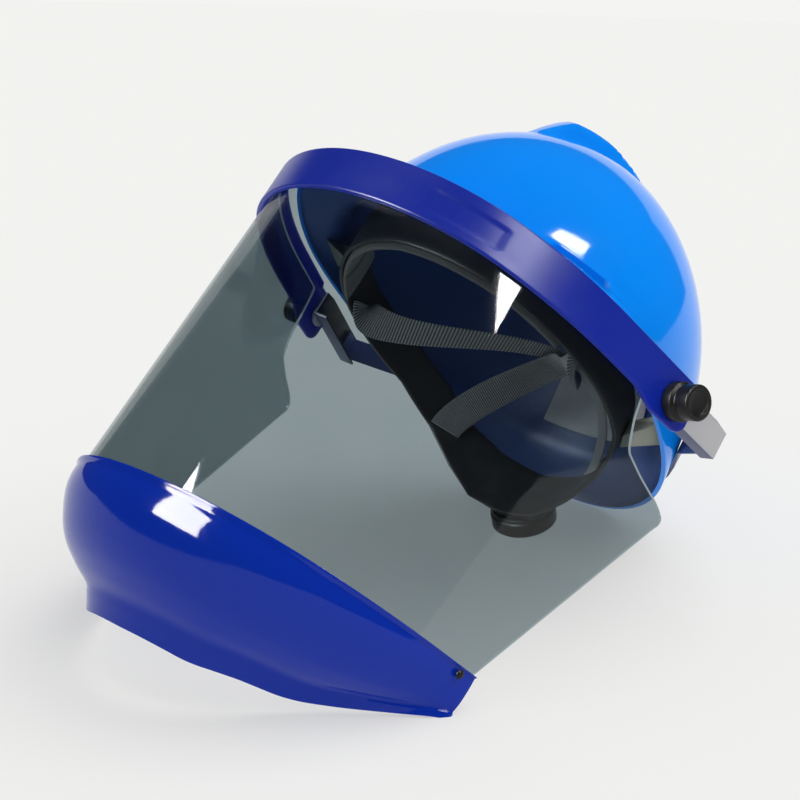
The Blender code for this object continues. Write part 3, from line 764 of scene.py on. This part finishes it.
# Visor band: a cobalt angle moulding over the sheet's top edge, with a bare
# recessed panel on its left front and a lobe round the hinge at each end.
BAND_OUT = 0.0031
BAND_TOP = 0.0186
BAND_LOW = -0.0044
BAND_LIP = 0.0020
LIP_IN = 0.0030
LOBE_S = HINGE_S - 0.0258
LOBE_LENGTH = 0.0385
LOBE_DROP = 0.0042
LOBE_ROUND = 0.0068
LOBE = (
    # share of the lobe's length, share of its drop, share of the lip
    (0.00, 0.00, 1.00),
    (0.21, 0.52, 1.00),
    (0.39, 1.00, 0.00),
    (0.83, 0.86, 0.00),
    (1.00, 0.86, 0.00),
)
PANEL = (0.0490, 0.0880, 0.0002, 0.0122)
PANEL_DEPTH = 0.0004
PANEL_SLOPE = 0.0012
BAND_ROUND = 0.0009
BAND_ROWS = 26
SKIN_GAP = 0.0001
SHEET_GAP = 0.0003
cobalt = plastic("cobalt plastic", (0.0022, 0.0190, 0.360), 0.28, haze=0.05, tone=0.12, specular=0.22)


def band_outline(s):
    """Upper and lower height of the band, with the lobe round the hinge."""
    drop = along(LOBE, (s - LOBE_S) / LOBE_LENGTH)[0]
    end = max((s - (LOBE_S + LOBE_LENGTH - LOBE_ROUND)) / LOBE_ROUND, 0.0)
    trim = LOBE_ROUND * (1 - math.sqrt(max(1 - end * end, 0.0)))
    return BAND_TOP - trim, BAND_LOW - drop * LOBE_DROP + trim


def rounded(corners, radius, count=3):
    """Outline with each corner replaced by a few points of an arc."""
    outline = []
    for k, c in enumerate(corners):
        c, before, after = Vector(c), Vector(corners[k - 1]), Vector(corners[(k + 1) % len(corners)])
        a = (before - c).normalized() * min(radius, (before - c).length * 0.45)
        b = (after - c).normalized() * min(radius, (after - c).length * 0.45)
        for i in range(count + 1):
            u = i / count
            outline.append(c + a * (1 - u) ** 2 + b * u ** 2)
    return outline


def band_ring(s):
    """Closed section of the band at s: outer face, lip over the sheet's edge and inner face."""
    top, low = band_outline(abs(s))
    step = top - BAND_LIP
    edge = SKIN_GAP - along(LOBE, (abs(s) - LOBE_S) / LOBE_LENGTH)[1] * (LIP_IN + SKIN_GAP)
    face = [(BAND_OUT, low + (top - low) * k / BAND_ROWS) for k in range(1, BAND_ROWS)]
    inside = [(edge, top), (edge, step), (SHEET_GAP, step), (SHEET_GAP, low)]
    ring = rounded([(BAND_OUT, low), (BAND_OUT, top)] + inside, BAND_ROUND)
    ring = ring[:4] + [Vector(p) for p in face] + ring[4:]
    ahead, behind, foot, head = PANEL
    for p in ring:
        if p.x > BAND_OUT - SKIN_GAP and s > 0:
            into = ease(ahead, ahead + PANEL_SLOPE, s) * (1 - ease(behind - PANEL_SLOPE, behind, s))
            into *= ease(foot, foot + PANEL_SLOPE, p.y) * (1 - ease(head - PANEL_SLOPE, head, p.y))
            p.x -= PANEL_DEPTH * into
    return ring


half = [0.002 * k for k in range(91)] + [LOBE_S + LOBE_LENGTH * k / 40 for k in range(1, 41)]
half[-1] -= 0.0002
band_columns = [-s for s in reversed(half[1:])] + half
band_rings = [[on_sheet(s, p.x, p.y) for p in band_ring(s)] for s in band_columns]
band = laid("visor_headband", len(band_columns) - 1, len(band_rings[0]),
            lambda i, j: band_rings[i][j % len(band_rings[0])])
band.data.materials.append(cobalt)
close_up(band)
smooth_over(band, 45)
fit_on(band, "visor", "cobalt_plastic", "visor_band")

# Chin guard: a deep cobalt moulding that laps the sheet's lower edge, curls in
# under the chin and ends in a thin flange. A small black rivet holds each tip.
GUARD_HEIGHT = 0.0579
GUARD_SWEEP = 0.0437
GUARD_WALL = 0.0020
GUARD_ROWS = 44
GUARD_COLUMNS = 180
TOP_LIP = 0.0011
FLANGE_STEP = 0.0008
RIVET_INSET = 0.0100
RIVET_RADIUS = 0.0020
GUARD_SHAPE = (
    # share of the reach, share of the height, share of the inward sweep
    (0.000, 1.000, 1.000),
    (0.335, 0.988, 0.990),
    (0.503, 0.915, 0.946),
    (0.670, 0.846, 0.880),
    (0.754, 0.755, 0.760),
    (0.838, 0.639, 0.560),
    (0.922, 0.492, 0.280),
    (1.000, 0.345, 0.030),
)
GUARD_SECTION = (
    # share of the height, share of the sweep
    (0.000, 0.000),
    (0.190, 0.004),
    (0.370, 0.112),
    (0.577, 0.288),
    (0.712, 0.517),
    (0.830, 0.835),
    (1.000, 0.985),
)


def softly(table, key, span):
    """Values of a table, averaged over the span so that no row shows as a crease."""
    rows = [along(table, min(max(key + span * k / 4, 0.0), 1.0)) for k in range(-4, 5)]
    return [sum(r[c] for r in rows) / 9 for c in range(len(rows[0]))]


def guard_ring(s):
    """Closed section of the guard at s, down its outer face and up its inner one."""
    tall, sweep = softly(GUARD_SHAPE, min(abs(s) / GUARD_REACH, 1.0), 0.05)
    outer, inner = [], []
    for k in range(GUARD_ROWS + 1):
        depth = k / GUARD_ROWS
        inward = softly(GUARD_SECTION, depth, 0.09 - 0.06 * ease(0.70, 0.80, depth))[0]
        off = SHEET_GAP + GUARD_WALL - inward * sweep * GUARD_SWEEP
        lip = TOP_LIP * (1 - ease(0.012, 0.045, depth)) + FLANGE_STEP * ease(0.835, 0.850, depth)
        z = GUARD_TOP - depth * tall * GUARD_HEIGHT
        outer.append((off + lip, z))
        inner.append((off - GUARD_WALL * (1 - 0.3 * depth), z + GUARD_WALL * 0.9 * depth))
    return [on_sheet(s, *p) for p in outer + inner[::-1]]


guard_rings = [guard_ring(GUARD_REACH * (2 * k / GUARD_COLUMNS - 1)) for k in range(GUARD_COLUMNS + 1)]
guard = laid("chin_moulding", GUARD_COLUMNS, len(guard_rings[0]),
             lambda i, j: guard_rings[i][j % len(guard_rings[0])])
guard.data.materials.append(plastic("polished cobalt plastic", (0.0030, 0.0290, 0.400), 0.06, haze=0.04,
                                    tone=0.12, specular=0.22))
close_up(guard)
round_off(guard, 0.0004, 2, 60)
smooth_over(guard, 35)
fit_on(guard, "visor", "cobalt_plastic", "chin_guard")
for side, sign in (("left", 1), ("right", -1)):
    profile = [(RIVET_RADIUS, 0.0), (RIVET_RADIUS, 0.0008), (RIVET_RADIUS / 2, 0.0014)]
    rivet = turned(f"tip_rivet_{side}", profile, 32, 0.0002)
    rivet.data.materials.append(black)
    smooth_over(rivet, 50)
    out = Vector((sign * math.sin(LEG_ANGLE), -math.cos(LEG_ANGLE), 0.0))
    seat = 2 * SHEET_GAP + GUARD_WALL + TOP_LIP
    stand_at(rivet, on_sheet(sign * (GUARD_REACH - RIVET_INSET), seat, GUARD_TOP - 0.0036), out)
    fit_on(rivet, "visor", "black_plastic", f"guard_rivet_{side}")

# Thumb knobs: black screws that clamp the band's ends to the bosses, each with
# a wide foot, a waist and a capped head with a shallow round dish.
for side, sign in (("left", 1), ("right", -1)):
    foot = [(0.0098, 0.0), (0.0098, 0.0050)]
    waist = [(0.0078, 0.0060), (0.0078, 0.0070)]
    cap = [(0.0088, 0.0080), (0.0088, 0.0146), (0.0080, 0.0150), (0.0064, 0.0150)]
    dish = [(0.0058, 0.0141), (0.0030, 0.0138)]
    knob = turned(f"thumb_screw_{side}", foot + waist + cap + dish, 72, 0.0003)
    knob.data.materials.append(black)
    smooth_over(knob, 40)
    out = Vector((sign * math.sin(LEG_ANGLE), -math.cos(LEG_ANGLE), 0.0))
    stand_at(knob, on_sheet(sign * HINGE_S, BAND_OUT + SHEET_GAP, HINGE_Z), out)
    fit_on(knob, f"thumb_knob_{side}", "black_plastic", f"thumb_knob_{side}")

# Studio: a pale floor under an even sky and a broad soft lamp, light cards that
# show only in the gloss, and the camera at the photograph's height and angle.
bpy.ops.object.select_all(action="DESELECT")
bpy.ops.mesh.primitive_plane_add(size=60)
floor = bpy.context.object
floor.name = "studio_floor"
ground = bpy.data.materials.new("pale floor")
ground.use_nodes = True
matt = ground.node_tree.nodes["Principled BSDF"]
matt.inputs["Base Color"].default_value = (0.40, 0.40, 0.395, 1.0)
matt.inputs["Emission Color"].default_value = (0.45, 0.45, 0.440, 1.0)
matt.inputs["Emission Strength"].default_value = 1.0
matt.inputs["Roughness"].default_value = 1.0
matt.inputs["Specular IOR Level"].default_value = 0.0
floor.data.materials.append(ground)

DAYLIGHT = 1.16
SKY = 0.62
world = bpy.data.worlds.new("studio sky")
world.use_nodes = True
nodes, links = world.node_tree.nodes, world.node_tree.links
rays = nodes.new("ShaderNodeLightPath")
gloss, seen = nodes.new("ShaderNodeMix"), nodes.new("ShaderNodeMix")
gloss.inputs["A"].default_value = SKY
gloss.inputs["B"].default_value = 0.05
seen.inputs["B"].default_value = 0.905
links.new(rays.outputs["Is Glossy Ray"], gloss.inputs["Factor"])
links.new(rays.outputs["Is Camera Ray"], seen.inputs["Factor"])
links.new(gloss.outputs["Result"], seen.inputs["A"])
links.new(seen.outputs["Result"], nodes["Background"].inputs["Strength"])
nodes["Background"].inputs["Color"].default_value = (1.0, 1.0, 0.985, 1.0)
bpy.context.scene.world = world

lamp = bpy.data.lights.new("broad_lamp", "SUN")
lamp.energy = (DAYLIGHT - SKY) * math.pi
lamp.angle = math.radians(70)
broad = bpy.data.objects.new("broad_lamp", lamp)
broad.rotation_euler = (math.radians(-24), math.radians(14), 0.0)
broad.visible_glossy = False
bpy.context.collection.objects.link(broad)


def light_card(name, strength, *corners):
    """Bright four-cornered card that shows only in the gloss of the pieces."""
    bpy.ops.object.select_all(action="DESELECT")
    bpy.ops.mesh.primitive_plane_add(size=2)
    card = bpy.context.object
    card.name = card.data.name = name
    for v, corner in zip(card.data.vertices, (corners[0], corners[1], corners[3], corners[2])):
        v.co = corner
    glow = bpy.data.materials.new(name)
    glow.use_nodes = True
    bsdf = glow.node_tree.nodes["Principled BSDF"]
    bsdf.inputs["Base Color"].default_value = (0.0, 0.0, 0.0, 1.0)
    bsdf.inputs["Emission Color"].default_value = (1.0, 1.0, 1.0, 1.0)
    bsdf.inputs["Emission Strength"].default_value = strength
    card.data.materials.append(glow)
    card.visible_camera = card.visible_diffuse = card.visible_shadow = False


def towards(spot, direction, distance=1.6):
    """Place seen in the gloss at the spot, looking back along the direction."""
    return Vector(spot) + Vector(direction) * distance


tip = towards((0.0867, -0.0451, 0.1548), (0.889, 0.125, 0.441))
up_edge = (towards((0.0797, -0.0342, 0.1797), (0.828, 0.055, 0.558)) - tip) * 2.4
across = (towards((0.0860, -0.0272, 0.1735), (0.874, 0.149, 0.464)) - tip) * 2.4
light_card("side_card", 60.0, tip, tip + across, tip + across * 0.6 + up_edge, tip + up_edge)
light_card("front_card", 50.0, towards((0.0253, -0.162, 0.1061), (-0.318, -0.508, 0.800)),
           towards((0.0454, -0.1725, 0.0886), (0.096, -0.642, 0.761)),
           towards((0.0426, -0.1781, 0.0819), (-0.004, -0.966, 0.258)),
           towards((0.0203, -0.1831, 0.0875), (-0.447, -0.838, 0.312)))
light_card("crown_card", 40.0, towards((0.0663, 0.0283, 0.1911), (0.43, 0.302, 0.851)),
           towards((0.0666, 0.0219, 0.1874), (0.41, 0.291, 0.864)) + Vector((0.0, -0.2, -0.1)),
           towards((0.0778, 0.0315, 0.1793), (0.603, 0.379, 0.702)),
           towards((0.0771, 0.0379, 0.1833), (0.556, 0.443, 0.703)))
light_card("paper_card", 0.85, Vector((-3.5, 0.6, 0.0)), Vector((-3.5, 0.6, 1.3)),
           Vector((0.2, 3.6, 1.3)), Vector((0.2, 3.6, 0.0)))

eye = bpy.data.cameras.new("photograph_camera")
eye.lens = 63.2
eye.sensor_width = 36.0
camera = bpy.data.objects.new("photograph_camera", eye)
bpy.context.collection.objects.link(camera)
stance = Matrix(((0.7342, -0.2066, 0.6468, 0.46263), (0.4677, -0.5368, -0.7023, -0.52747),
                 (0.4923, 0.8181, -0.2974, -0.25986), (0.0, 0.0, 0.0, 1.0)))
camera.matrix_world = REST @ stance
bpy.context.scene.camera = camera
bpy.context.scene.view_settings.view_transform = "Standard"
